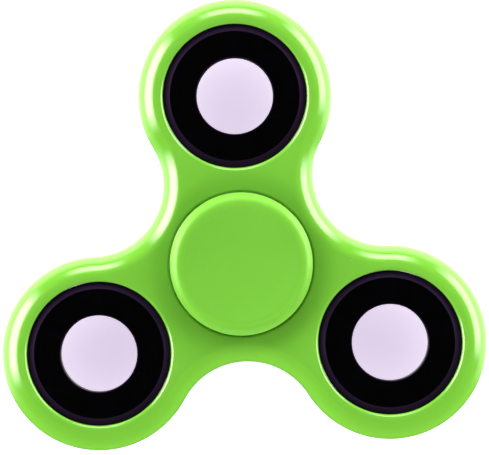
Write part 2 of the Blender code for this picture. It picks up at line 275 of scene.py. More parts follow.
def linked(name: str, data: bpy.types.ID) -> bpy.types.Object:
    """A new object in the scene, with this mesh, lamp or camera."""
    made = bpy.data.objects.new(name, data)
    bpy.context.scene.collection.objects.link(made)
    return made


def turned(name: str, section: Sequence[SectionPoint], steps: int, closed: bool = True) -> bpy.types.Object:
    """An object made by MeshMaker.turn alone."""
    maker = MeshMaker()
    maker.turn(section, steps, closed)
    return maker.finished(name)


def polar(radius: float, angle: float, height: float = 0.0) -> Vector:
    """The point at this radius and angle round +Z."""
    return Vector((radius * math.cos(angle), radius * math.sin(angle), height))


def arc(centre: Vector, radius: float, start: float, end: float, steps: int) -> list[Vector]:
    """steps + 1 points of an arc round a centre, in its plane across +Z."""
    return [centre + polar(radius, start + (end - start) * i / steps) for i in range(steps + 1)]


# ---- node trees ---------------------------------------------------------------------------------


class Graph:
    """Short ways to add sockets, nodes and links to a node tree."""

    def __init__(self, tree: bpy.types.NodeTree) -> None:
        """Works on this tree."""
        self.tree = tree

    def take(self, wanted: dict[str, object]) -> Sockets:
        """Adds the tree's named inputs.

        Args:
            wanted: Each input's default value, or the name of its type where it has none.

        Returns:
            The sockets that bring the values in, by name.
        """
        for name, default in wanted.items():
            kind = default if isinstance(default, str) else type(default).__name__.capitalize()
            made = self.tree.interface.new_socket(name, in_out="INPUT", socket_type=f"NodeSocket{kind}")
            if kind != default:
                made.default_value = default
        return self.node("NodeGroupInput").outputs

    def give(self, results: dict[str, Socket], kind: str) -> None:
        """Adds the tree's named outputs, all of one type, and feeds them."""
        for name in results:
            self.tree.interface.new_socket(name, in_out="OUTPUT", socket_type=f"NodeSocket{kind}")
        self.node("NodeGroupOutput", results)

    def node(self, kind: str, inputs: dict | None = None, **settings: object) -> bpy.types.Node:
        """Adds a node.

        Args:
            kind: The node's type.
            inputs: A value or another node's output for each input, by name or number.
            **settings: The node's own properties.

        Returns:
            The new node.
        """
        made = self.tree.nodes.new(kind)
        for key, value in settings.items():
            setattr(made, key, value)
        self.feed(made, inputs or {})
        return made

    def feed(self, node: bpy.types.Node, values: dict) -> None:
        """Links an output to each named input of the node, or sets its value."""
        for key, value in values.items():
            if isinstance(value, Socket):
                self.tree.links.new(value, node.inputs[key])
            else:
                node.inputs[key].default_value = value

    def out(self, kind: str, inputs: dict | None = None, **settings: object) -> Socket:
        """Adds a node as node does, and returns its first output."""
        return self.node(kind, inputs, **settings).outputs[0]

    def math(self, operation: str, *values: object, clamp: bool = False) -> Socket:
        """Adds a Math node and returns its output."""
        return self.out("ShaderNodeMath", dict(enumerate(values)), operation=operation, use_clamp=clamp)

    def over(self, value: object) -> Socket:
        """One over the value."""
        return self.math("DIVIDE", 1.0, value)

    def spread(self, value: object, *ends: float, kind: str = "LINEAR") -> Socket:
        """Maps a value from one range to another, held at its ends.

        Args:
            value: The value.
            *ends: Its low and high end, and what they become. Without the last two, 0 and 1.
            kind: How it runs from one to the other.

        Returns:
            The mapped value.
        """
        names = ("From Min", "From Max", "To Min", "To Max")
        inputs = {"Value": value, **dict(zip(names, (*ends, 0.0, 1.0)))}
        return self.out("ShaderNodeMapRange", inputs, interpolation_type=kind)

    def ease(self, value: object, *ends: float) -> Socket:
        """Maps a value as spread does, with a smooth start and end."""
        return self.spread(value, *ends, kind="SMOOTHSTEP")

    def mix(self, share: object, a: object, b: object) -> Socket:
        """Mixes two colours and returns the result."""
        return self.node("ShaderNodeMix", {0: share, 6: a, 7: b}, data_type="RGBA").outputs[2]

    def vector(self, operation: str, *values: object) -> bpy.types.Node:
        """Adds a Vector Math node."""
        return self.node("ShaderNodeVectorMath", dict(enumerate(values)), operation=operation)

    def parts(self, vector: object) -> Sockets:
        """The vector's three numbers."""
        return self.node("ShaderNodeSeparateXYZ", {0: vector}).outputs

    def facing(self) -> Socket:
        """How far the surface faces up, from -1 to 1."""
        return self.parts(self.node("ShaderNodeNewGeometry").outputs["Normal"])[2]

    def reach(self, vector: object) -> Socket:
        """How far the vector is from the Z axis."""
        flat = self.vector("MULTIPLY", vector, (1.0, 1.0, 0.0)).outputs[0]
        return self.vector("LENGTH", flat).outputs["Value"]

    def noise(self, vector: object, scale: object, detail: float = 2.0) -> Socket:
        """Adds a noise pattern and returns its value."""
        return self.out("ShaderNodeTexNoise", {"Vector": vector, "Scale": scale, "Detail": detail})


class SharedTree(ABC):
    """A node tree with named inputs, which is made on first use."""

    name: str
    kind: str
    gives: str
    takes: dict[str, object]

    def tree(self) -> bpy.types.NodeTree:
        """The node tree."""
        known = bpy.data.node_groups.get(self.name)
        if known:
            return known
        made = bpy.data.node_groups.new(self.name, self.kind)
        graph = Graph(made)
        graph.give(self.grow(graph, graph.take(self.takes)), self.gives)
        return made

    @abstractmethod
    def grow(self, graph: Graph, given: Sockets) -> dict[str, Socket]:
        """Adds the tree's nodes.

        Args:
            graph: The new tree.
            given: Its inputs, by name.

        Returns:
            A value for each of its outputs, by name.
        """


def opaque(colour: Colour) -> tuple[float, float, float, float]:
    """The colour with full alpha, as a colour socket takes it."""
    return (*colour, 1.0)


def tinted(colour: Colour, *gains: float) -> tuple[float, float, float, float]:
    """The colour, opaque and multiplied by one gain, or by one for each channel."""
    return opaque(tuple(c * gains[i % len(gains)] for i, c in enumerate(colour)))


# ---- effects ------------------------------------------------------------------------------------

BAND = (0.3, 0.7)  # the part of a noise pattern's range that matters


class SurfaceEffect(SharedTree):
    """A shader group that several finishes share."""

    kind = "ShaderNodeTree"
    gives = "Float"

    def on(self, graph: Graph, where: Socket, **inputs: object) -> Sockets:
        """Places the effect in a material, and returns its outputs, by name."""
        return graph.node("ShaderNodeGroup", {"Vector": where, **inputs}, node_tree=self.tree()).outputs


class MouldGrain(SurfaceEffect):
    """Faint skin that a polished mould leaves on plastic, as Height and Shade."""

    name = "mould_grain"
    takes = {"Vector": "Vector", "Size": 0.25 * MM}
    swell_size: float = 9.0
    shade_size: float = 60.0

    def grow(self, graph: Graph, given: Sockets) -> dict[str, Socket]:
        """See SharedTree.grow."""
        fine = graph.over(given["Size"])
        skin = graph.noise(given["Vector"], fine, 3.0)
        swell = graph.noise(given["Vector"], graph.math("DIVIDE", fine, self.swell_size), 1.0)
        shade = graph.noise(given["Vector"], graph.math("DIVIDE", fine, self.shade_size))
        return {"Height": graph.math("MULTIPLY_ADD", swell, 2.0, skin), "Shade": shade}


class EdgeWear(SurfaceEffect):
    """Rubbing along exposed edges, broken up so that it comes and goes, as Mask."""

    name = "edge_wear"
    takes = {"Vector": "Vector", "Edge": 0.0, "Amount": 0.5, "Size": 1.0 * MM}

    def grow(self, graph: Graph, given: Sockets) -> dict[str, Socket]:
        """See SharedTree.grow."""
        patches = graph.noise(given["Vector"], graph.over(given["Size"]), 4.0)
        least = graph.math("SUBTRACT", 1.0, given["Amount"])
        worn = graph.math("SUBTRACT", graph.math("ADD", patches, given["Edge"]), least)
        worn = graph.math("MULTIPLY", worn, given["Edge"], clamp=True)
        return {"Mask": graph.math("MULTIPLY", worn, given["Amount"])}


class Scuffs(SurfaceEffect):
    """Hair-fine scratches in two directions, as Mask."""

    name = "scuffs"
    takes = {"Vector": "Vector", "Length": 6.0 * MM, "Width": 0.05 * MM, "Amount": 0.3}
    angles: Span = (0.5, 2.3)
    crest: Span = (0.70, 0.78)

    def grow(self, graph: Graph, given: Sockets) -> dict[str, Socket]:
        """See SharedTree.grow."""
        across = graph.over(given["Width"])
        stretch = graph.out("ShaderNodeCombineXYZ", {0: graph.over(given["Length"]), 1: across, 2: across})
        total = 0.0
        for angle in self.angles:
            inputs = {"Vector": given["Vector"], "Angle": angle}
            turned = graph.out("ShaderNodeVectorRotate", inputs, rotation_type="Z_AXIS")
            lines = graph.noise(graph.vector("MULTIPLY", turned, stretch).outputs[0], 1.0, 0.0)
            total = graph.math("ADD", total, graph.spread(lines, *self.crest))
        return {"Mask": graph.math("MULTIPLY", total, given["Amount"], clamp=True)}


class FineDust(SurfaceEffect):
    """Specks of dust that settle on faces turned upwards, as Mask."""

    name = "fine_dust"
    takes = {"Vector": "Vector", "Spacing": 0.8 * MM, "Amount": 0.2}
    speck: Span = (0.03, 0.09)

    def grow(self, graph: Graph, given: Sockets) -> dict[str, Socket]:
        """See SharedTree.grow."""
        inputs = {"Vector": given["Vector"], "Scale": graph.over(given["Spacing"])}
        specks = graph.node("ShaderNodeTexVoronoi", inputs).outputs
        near = graph.spread(specks["Distance"], *self.speck, 1.0, 0.0)
        chance = graph.out("ShaderNodeSeparateColor", {0: specks["Color"]})
        near = graph.math("MULTIPLY", near, graph.math("LESS_THAN", chance, given["Amount"]))
        return {"Mask": graph.math("MULTIPLY", near, graph.facing(), clamp=True)}


class TurnedLines(SurfaceEffect):
    """Concentric tool marks round the Z axis of the vector, as Height and Streak."""

    name = "turned_lines"
    takes = {"Vector": "Vector", "Pitch": 0.12 * MM}
    drift_scale: float = 120.0
    drift: float = 0.6
    ridge_share: float = 0.25

    def grow(self, graph: Graph, given: Sockets) -> dict[str, Socket]:
        """See SharedTree.grow."""
        # Radius and height both count, so that the marks run round walls as well as faces.
        reach = graph.math("ADD", graph.reach(given["Vector"]), graph.parts(given["Vector"])[2])
        place = graph.math("DIVIDE", reach, given["Pitch"])
        place = graph.math("MULTIPLY_ADD", graph.noise(given["Vector"], self.drift_scale), self.drift, place)
        ridge = graph.math("SINE", graph.math("MULTIPLY", place, FULL_TURN))
        inputs = {"W": place, "Scale": 0.9, "Detail": 3.0}
        uneven = graph.out("ShaderNodeTexNoise", inputs, noise_dimensions="1D")
        return {"Height": graph.math("MULTIPLY_ADD", ridge, self.ridge_share, uneven), "Streak": uneven}


# ---- finishes -----------------------------------------------------------------------------------


@dataclass(frozen=True)
class Finish(ABC):
    """A surface, as a procedural material that is made on first use.

    Attributes:
        name: The material's name.
        colour: Its linear base colour.
        roughness: Its mean roughness.
    """

    name: str
    colour: Colour
    roughness: float

    def material(self, centre: Vector = ORIGIN) -> bpy.types.Material:
        """The finish as a material.

        Args:
            centre: The point that round patterns are centred on.

        Returns:
            The material, which pieces with the same finish and centre share.
        """
        name = self.name if centre == ORIGIN else f"{self.name}_{centre.x / MM:.0f}_{centre.y / MM:.0f}"
        known = bpy.data.materials.get(name)
        if known:
            return known
        made = bpy.data.materials.new(name)
        made.use_nodes = True
        made.diffuse_color = opaque(self.colour)
        graph = Graph(made.node_tree)
        where = graph.node("ShaderNodeTexCoord").outputs["Object"]
        if centre != ORIGIN:
            where = graph.out("ShaderNodeMapping", {"Vector": where, "Location": -centre})
        graph.feed(made.node_tree.nodes["Principled BSDF"], self.wire(graph, where))
        return made

    @abstractmethod
    def wire(self, graph: Graph, where: Socket) -> dict[str, object]:
        """Adds the finish's nodes.

        Args:
            graph: The material's node tree.
            where: The coordinates that patterns read.

        Returns:
            A value for each of the Principled shader's inputs that it sets.
        """

    def worn(self, graph: Graph, where: Socket, amount: float, size: float) -> Socket:
        """How rubbed the surface is at a point, where the mesh says that it is exposed."""
        edge = graph.node("ShaderNodeAttribute", attribute_name=EDGE_ATTRIBUTE).outputs["Fac"]
        return EdgeWear().on(graph, where, Edge=edge, Amount=amount, Size=size)["Mask"]

    def mottled(self, graph: Graph, pattern: Socket, vary: float) -> Socket:
        """The roughness, which a pattern varies by this share either way."""
        return graph.spread(pattern, *BAND, (1 - vary) * self.roughness, (1 + vary) * self.roughness)

    def bumped(self, graph: Graph, height: Socket, depth: float) -> Socket:
        """The normal of a surface with this much relief."""
        return graph.out("ShaderNodeBump", {"Height": height, "Distance": depth, "Strength": 1.0})


@dataclass(frozen=True)
class MouldedPlastic(Finish):
    """Glossy moulded plastic, whose colour can carry painted light at its rims and painted shade next to the
    cap.

    Attributes:
        grain: Depth of the mould's skin.
        handled: How much the surface is scuffed by fingers, from 0 to 1.
        glow: How much light spreads under the surface, from 0 to 1.
        depth: How far that light spreads.
        spread: How far each of the colours spreads of it.
        ior: Its refractive index.
        gloss: How strongly the surface mirrors, where 0.5 is what the refractive index gives.
        rim: How much painted light lightens its colour where it rounds over, from 0 to 1.
        hub_shade: How much painted shade darkens its colour next to the cap, where the cap keeps light off,
            from 0 to 1.
        hub_radii: Distances from the axis where that starts to fade, and where it is gone.
        rim_radii: Distances from the axis where the painted light on a round piece's rim
            starts, and where it is brightest. Without them, it is where the surface tilts that counts.
        rim_tilt: How far up it faces where the painted light is brightest, and where it is gone.
        rim_gain: What the colour is multiplied by where the painted light is brightest.
        dust_colour: Colour of the dust on it.
    """

    grain: float = 0.0003 * MM
    handled: float = 0.2
    glow: float = 0.3
    depth: float = 0.8 * MM
    spread: Colour = (1.0, 1.0, 0.7)
    ior: float = 1.58
    gloss: float = 1.0
    rim: float = 0.4
    hub_shade: float = 0.0
    hub_radii: Span = (11.8 * MM, 15.2 * MM)
    rim_radii: Span | None = None
    rim_tilt: Span = (0.955, 0.998)
    rim_gain: Colour = (1.20, 1.20, 1.00)
    dust_colour: Colour = (0.75, 0.75, 0.72)

    def wire(self, graph: Graph, where: Socket) -> dict[str, object]:
        """See Finish.wire."""
        skin = MouldGrain().on(graph, where, Size=0.3 * MM)
        wear = self.worn(graph, where, 0.35 + 0.3 * self.handled, 1.5 * MM)
        scuffs = Scuffs().on(graph, where, Length=5 * MM, Width=0.06 * MM, Amount=self.handled)["Mask"]
        dust = FineDust().on(graph, where, Amount=0.10)["Mask"]

        deep, light = tinted(self.colour, 0.965), tinted(self.colour, 1.035)
        flow_and_painted_light = graph.mix(graph.spread(skin["Shade"], *BAND), deep, light)
        # Painted light: the colour is lighter towards a round piece's rim where radii are given, and
        # elsewhere where the surface rounds over.
        if self.rim_radii:
            rim = graph.ease(graph.reach(where), *self.rim_radii, 0.0, self.rim)
        else:
            rim = graph.ease(graph.math("ABSOLUTE", graph.facing()), *self.rim_tilt, self.rim, 0.0)
        flow_and_painted_light = graph.mix(rim, flow_and_painted_light, tinted(self.colour, *self.rim_gain))
        # Painted shade: the colour is darkened towards black next to the cap, where the cap keeps light off
        # the body.
        shade = graph.ease(graph.reach(where), *self.hub_radii, self.hub_shade, 0.0)
        flow_and_painted_light = graph.mix(shade, flow_and_painted_light, opaque((0.0, 0.0, 0.0)))
        rubbed = opaque(tuple(0.8 * c + 0.2 * (0.35 + 0.65 * c) for c in self.colour))
        colour = graph.mix(graph.math("MULTIPLY", wear, 0.6), flow_and_painted_light, rubbed)
        rough = self.mottled(graph, skin["Shade"], 0.15)
        for mask, gain in ((scuffs, 0.10), (wear, 0.12), (dust, 0.35)):
            rough = graph.math("MULTIPLY_ADD", mask, gain, rough)
        height = graph.math("MULTIPLY_ADD", scuffs, -0.6, skin["Height"])
        return {
            "Base Color": graph.mix(graph.math("MULTIPLY", dust, 0.25), colour, opaque(self.dust_colour)),
            "Roughness": rough,
            "Normal": self.bumped(graph, height, self.grain),
            "IOR": self.ior,
            "Specular IOR Level": self.gloss,
            "Subsurface Weight": self.glow,
            "Subsurface Radius": self.spread,
            "Subsurface Scale": self.depth,
        }


@dataclass(frozen=True)
class BlackenedSteel(Finish):
    """Turned steel with a black oxide skin, rubbed a little along its edges, and a painted reflection on its
    chamfers.

    Attributes:
        bare: Colour of the steel where the skin is rubbed off.
        sheen: Colour of the painted reflection on turned chamfers.
        chamfer_tilt: How far up a chamfer faces at least, from none of the painted reflection to all of it.
        face_tilt: How far up it faces at most, from all of the painted reflection to none of it.
        gloss: How strongly the skin mirrors.
        relief: Depth of the tool marks.
        dust_colour: Colour of the dust on it.
    """

    bare: Colour = (0.05, 0.04, 0.06)
    sheen: Colour = (0.016, 0.0068, 0.0245)
    chamfer_tilt: Span = (0.3, 0.6)
    face_tilt: Span = (0.88, 0.97)
    gloss: float = 0.02
    relief: float = 0.0006 * MM
    dust_colour: Colour = (0.4, 0.4, 0.4)

    def wire(self, graph: Graph, where: Socket) -> dict[str, object]:
        """See Finish.wire."""
        lines = TurnedLines().on(graph, where, Pitch=0.14 * MM)
        wear = self.worn(graph, where, 0.35, 0.8 * MM)
        dust = FineDust().on(graph, where, Amount=0.05, Spacing=0.6 * MM)["Mask"]
        patchy = graph.noise(where, 400.0, 3.0)
        colour = graph.mix(graph.spread(patchy, 0.4, 0.7), opaque(self.colour), tinted(self.colour, 1.6))
        # Painted reflection: chamfers that face partly sideways are coloured violet, standing in for what
        # they reflect of the surroundings.
        sheen = graph.mix(graph.spread(patchy, *BAND), opaque(self.sheen), tinted(self.sheen, 1.12))
        tilt = graph.math("ABSOLUTE", graph.facing())
        steep = graph.ease(tilt, *self.face_tilt, 1.0, 0.0)
        painted_sheen_share = graph.math("MULTIPLY", steep, graph.ease(tilt, *self.chamfer_tilt))
        colour = graph.mix(wear, graph.mix(painted_sheen_share, colour, sheen), opaque(self.bare))
        return {
            "Base Color": graph.mix(graph.math("MULTIPLY", dust, 0.15), colour, opaque(self.dust_colour)),
            "Roughness": graph.math("MULTIPLY_ADD", dust, 0.3, self.mottled(graph, lines["Streak"], 0.2)),
            "Normal": self.bumped(graph, lines["Height"], self.relief),
            "Specular IOR Level": self.gloss,
        }


@dataclass(frozen=True)
class BrightSteel(Finish):
    """Bare bearing steel, with marks of how it was made and a thin film of oil.

    Attributes:
        lay: Which way its marks run.
        pitch: Distance from one mark to the next.
        depth: Depth of the marks.
        oil: What the colour is multiplied by under the film.
    """

    lay: Lay = Lay.TURNED
    pitch: float = 0.05 * MM
    depth: float = 0.0004 * MM
    oil: Colour = (0.88, 0.84, 0.74)

    def wire(self, graph: Graph, where: Socket) -> dict[str, object]:
        """See Finish.wire."""
        marks = self.marks(graph, where)
        film = graph.spread(graph.noise(where, 250.0, 3.0), 0.35, 0.7)
        wear = self.worn(graph, where, 0.6, 0.5 * MM)
        oily = graph.math("MULTIPLY", film, 0.5)
        colour = graph.mix(oily, opaque(self.colour), tinted(self.colour, *self.oil))
        return {
            "Base Color": graph.mix(wear, colour, tinted(self.colour, 1.15)),
            "Roughness": graph.math("MULTIPLY_ADD", film, 0.06, self.mottled(graph, marks, 0.25)),
            "Normal": self.bumped(graph, marks, self.depth),
            "Metallic": 1.0,
        }

    def marks(self, graph: Graph, where: Socket) -> Socket:
        """The height of the marks, for this piece's lay."""
        if self.lay is Lay.TURNED:
            return TurnedLines().on(graph, where, Pitch=self.pitch)["Height"]
        if self.lay is Lay.TUMBLED:
            return graph.noise(where, 1 / self.pitch, 4.0)
        inputs = {"Vector": where, "Scale": (0.04, 1.0, 1.0), "Rotation": (0, 0, 0.4)}
        return graph.noise(graph.out("ShaderNodeMapping", inputs), 1 / self.pitch)


# The body's colour carries painted shade next to the cap, and painted light where it rounds over.
BODY_PLASTIC = MouldedPlastic(
    "moulded_body_green", (0.213, 0.595, 0.053), 0.085, handled=0.12, hub_shade=0.17
)
# The caps' colour carries painted light towards their rims.
CAP_PLASTIC = MouldedPlastic(
    "moulded_cap_green",
    (0.182, 0.540, 0.040),
    0.42,
    grain=0.0005 * MM,
    handled=0.35,
    gloss=0.56,
    rim=1.0,
    rim_radii=(8.7 * MM, 10.4 * MM),
)
BLACK_OXIDE = BlackenedSteel("black_oxide_steel", (0.0006, 0.0005, 0.0008), 0.36)
RACE_STEEL = BrightSteel("ground_race_steel", (0.60, 0.59, 0.58), 0.16)
BALL_STEEL = BrightSteel("lapped_ball_steel", (0.66, 0.66, 0.66), 0.06, Lay.TUMBLED, 0.4 * MM, 0.0002 * MM)
SHIELD_STEEL = BrightSteel("pressed_shield_steel", (0.50, 0.50, 0.49), 0.26, Lay.ROLLED, 0.08 * MM)
CAGE_STEEL = BrightSteel("pressed_cage_steel", (0.47, 0.46, 0.44), 0.30, Lay.ROLLED, 0.1 * MM)
CLIP_STEEL = BrightSteel("spring_clip_steel", (0.27, 0.27, 0.28), 0.24, Lay.ROLLED, 0.06 * MM)
RIVET_STEEL = BrightSteel("headed_rivet_steel", (0.52, 0.50, 0.48), 0.28, Lay.TUMBLED, 0.25 * MM)


# ---- geometry nodes -----------------------------------------------------------------------------


class NodeShape(SharedTree):
    """A shape that a geometry node tree makes. The tree's named inputs are its sizes."""

    kind = "GeometryNodeTree"
    gives = "Geometry"

    def grow(self, graph: Graph, given: Sockets) -> dict[str, Socket]:
        """See SharedTree.grow."""
        inputs = {"Geometry": self.shape(graph, given), "Material": given["Material"]}
        return {"Geometry": graph.out("GeometryNodeSetMaterial", inputs)}

    @abstractmethod
    def shape(self, graph: Graph, given: Sockets) -> Socket:
        """Adds the nodes that make the shape, and returns it without its material."""

    @staticmethod
    def spaced(
        graph: Graph, shape: Socket, distance: Socket, count: Socket, step: Socket, first: Socket
    ) -> Socket:
        """Real copies of a shape, spaced evenly round the Z axis.

        Args:
            graph: The tree.
            shape: What is copied.
            distance: How far out from the axis it is moved.
            count: How many copies there are.
            step: Angle from one to the next.
            first: Angle of the first.

        Returns:
            The copies, as one mesh.
        """
        outwards = graph.out("ShaderNodeCombineXYZ", {0: distance})
        moved = graph.out("GeometryNodeTransform", {"Geometry": shape, "Translation": outwards})
        points = graph.out("GeometryNodePoints", {"Count": count})
        angle = graph.math("MULTIPLY_ADD", graph.out("GeometryNodeInputIndex"), step, first)
        turn = graph.out("ShaderNodeCombineXYZ", {2: angle})
        inputs = {"Points": points, "Instance": moved, "Rotation": turn}
        copies = graph.out("GeometryNodeInstanceOnPoints", inputs)
        return graph.out("GeometryNodeRealizeInstances", {"Geometry": copies})

    def made(self, name: str, start: bpy.types.Object, sizes: dict[str, object]) -> bpy.types.Object:
        """Runs the tree once and keeps its result as a plain mesh.

        Args:
            name: The new piece's name.
            start: The object whose mesh goes in. It is used up.
            sizes: A value for each of the tree's named inputs.

        Returns:
            The new object, at the origin.
        """
        tree = self.tree()
        modifier = start.modifiers.new(self.name, "NODES")
        modifier.node_group = tree
        for item in tree.interface.items_tree:
            if item.in_out == "INPUT" and item.name in sizes:
                modifier[item.identifier] = sizes[item.name]
        graph = bpy.context.evaluated_depsgraph_get()
        mesh = bpy.data.meshes.new_from_object(start.evaluated_get(graph), depsgraph=graph)
        mesh.name = name
        old = start.data
        start.modifiers.remove(modifier)
        bpy.data.objects.remove(start)
        bpy.data.meshes.remove(old)
        return linked(name, mesh)


class SpacedRoundAxis(NodeShape):
    """Copies of a shape, spaced evenly round the Z axis, and welded where they meet."""

    name = "spaced_round_axis"
    takes = {
        "Geometry": "Geometry",
        "Count": 3,
        "Spaces": 3,
        "Distance": 0.0,
        "First Angle": 0.0,
        "Weld Distance": 0.001 * MM,
        "Material": "Material",
    }

    def shape(self, graph: Graph, given: Sockets) -> Socket:
        """See NodeShape.shape."""
        step = graph.math("DIVIDE", FULL_TURN, given["Spaces"])
        place = (given["Distance"], given["Count"], step, given["First Angle"])
        real = self.spaced(graph, given["Geometry"], *place)
        inputs = {"Geometry": real, "Distance": given["Weld Distance"]}
        return graph.out("GeometryNodeMergeByDistance", inputs)


class CageRibbon(NodeShape):
    """A pressed ribbon that follows a wave round the balls, with a hole for each rivet."""

    name = "cage_ribbon"
    takes = {
        "Geometry": "Geometry",
        "Balls": 7,
        "Side": 1.0,
        "Pitch Radius": 0.0,
        "Pocket Radius": 0.0,
        "Thickness": 0.0,
        "Width": 0.0,
        "Half Gap": 0.0,
        "Hole Radius": 0.0,
        "Steps": 44,
        "Material": "Material",
    }
    edge_fillet: float = 0.08 * MM
    bend: float = 0.5 * MM
    drill_facets: int = 24

    def shape(self, graph: Graph, given: Sockets) -> Socket:
        """See NodeShape.shape."""
        step = graph.math("DIVIDE", FULL_TURN, given["Balls"])
        half_step = graph.math("DIVIDE", step, 2.0)
        steps = graph.math("MULTIPLY", given["Balls"], given["Steps"])
        inputs = {"Resolution": steps, "Radius": given["Pitch Radius"]}
        path = graph.out("GeometryNodeCurvePrimitiveCircle", inputs)
        lift = graph.out("ShaderNodeCombineXYZ", {2: self.wave(graph, given, half_step)})
        path = graph.out("GeometryNodeSetPosition", {"Geometry": path, "Offset": lift})
        path = graph.out("GeometryNodeSetCurveNormal", {"Curve": path}, mode="Z_UP")
        inputs = {"Width": given["Width"], "Height": given["Thickness"]}
        strip = graph.out("GeometryNodeCurvePrimitiveQuadrilateral", inputs)
        inputs = {"Curve": strip, "Radius": self.edge_fillet, "Count": 3}
        strip = graph.out("GeometryNodeFilletCurve", inputs, mode="POLY")
        ribbon = graph.out("GeometryNodeCurveToMesh", {"Curve": path, "Profile Curve": strip})

        depth = graph.math("MULTIPLY", given["Thickness"], 6.0)
        inputs = {"Vertices": self.drill_facets, "Radius": given["Hole Radius"], "Depth": depth}
        pin = graph.out("GeometryNodeMeshCylinder", inputs)
        pins = self.spaced(graph, pin, given["Pitch Radius"], given["Balls"], step, half_step)
        inputs = {"Mesh 1": ribbon, "Mesh 2": pins}
        drilled = graph.out("GeometryNodeMeshBoolean", inputs, operation="DIFFERENCE", solver="EXACT")
        smooth = graph.out("GeometryNodeSetShadeSmooth", {"Geometry": drilled})
        return graph.out("GeometryNodeRealizeInstances", {"Geometry": smooth})

    def wave(self, graph: Graph, given: Sockets, half_step: Socket) -> Socket:
        """How high the middle of the sheet is at a point of the path.

        It arches over a ball, and runs flat just off the middle plane between two balls.
        """
        half_sheet = graph.math("DIVIDE", given["Thickness"], 2.0)
        x, y, _ = graph.parts(graph.out("GeometryNodeInputPosition"))
        back = graph.math("MULTIPLY", half_step, -1.0)
        from_ball = graph.math("WRAP", graph.math("ARCTAN2", y, x), half_step, back)
        aside = graph.math("MULTIPLY", graph.math("SINE", from_ball), given["Pitch Radius"])
        radius = graph.math("ADD", given["Pocket Radius"], half_sheet)
        left = graph.math("SUBTRACT", graph.math("POWER", radius, 2.0), graph.math("POWER", aside, 2.0))
        arch = graph.math("SQRT", graph.math("MAXIMUM", left, 0.0))
        land = graph.math("ADD", given["Half Gap"], half_sheet)
        return graph.math("MULTIPLY", graph.math("SMOOTH_MAX", arch, land, self.bend), given["Side"])

# ---- pieces -------------------------------------------------------------------------------------


def fitted(piece: bpy.types.Object, material: bpy.types.Material, body: str, node: str) -> None:
    """Dresses a finished piece and puts it in the place of its CAD node.

    Args:
        piece: The finished piece, in place.
        material: Its material.
        body: The body that it rides on.
        node: The CAD node that it stands for.
    """
    piece.data.materials.clear()
    piece.data.materials.append(material)
    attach(piece, body)
    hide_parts(node)
    LOG.info("%s rides on %s with %d faces of %s", piece.name, body, len(piece.data.polygons), material.name)


